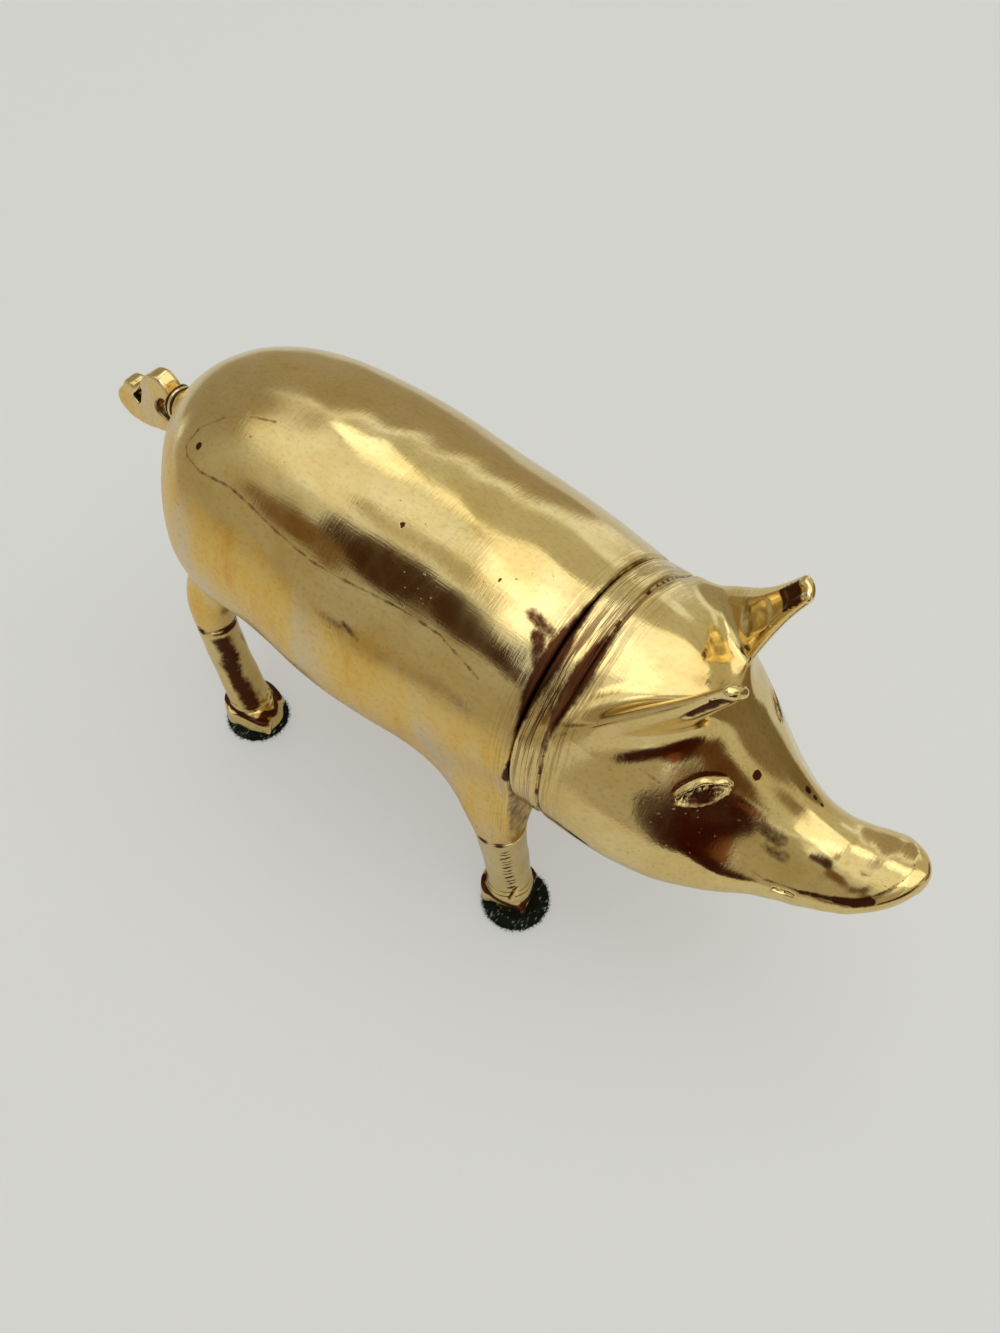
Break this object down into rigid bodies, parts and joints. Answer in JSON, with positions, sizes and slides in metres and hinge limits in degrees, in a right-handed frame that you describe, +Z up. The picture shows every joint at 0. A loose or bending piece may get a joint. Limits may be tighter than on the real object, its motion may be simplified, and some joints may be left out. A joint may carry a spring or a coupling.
{
  "type": "pig figurine",
  "caption": "Polished brass pig ornament for a shelf, with a long barrel body, pricked ears, curly tail and short legs on round felt pads.",
  "frame": {"origin": "on the floor under the middle of the pig's overall length and width", "axes": "+X from tail to nose, +Y to the pig's left, +Z up"},
  "size_m": [0.2593, 0.0802, 0.1262],
  "materials": {
    "brass_casting": "polished and aged brass with brown patina, file marks and casting pits",
    "felt": "near-black pressed felt with a fuzzy edge",
    "adhesive": "thin dull film of pressure-sensitive adhesive"
  },
  "bodies": {
    "root": {"body_shell": "brass_casting", "head_shell": "brass_casting", "curly_tail": "brass_casting", "leg_front_left": "brass_casting", "leg_front_right": "brass_casting", "leg_rear_left": "brass_casting", "leg_rear_right": "brass_casting", "felt_pad_front_left": "felt", "felt_pad_front_right": "felt", "felt_pad_rear_left": "felt", "felt_pad_rear_right": "felt", "pad_glue_front_left": "adhesive", "pad_glue_front_right": "adhesive", "pad_glue_rear_left": "adhesive", "pad_glue_rear_right": "adhesive"}
  },
  "joints": []
}
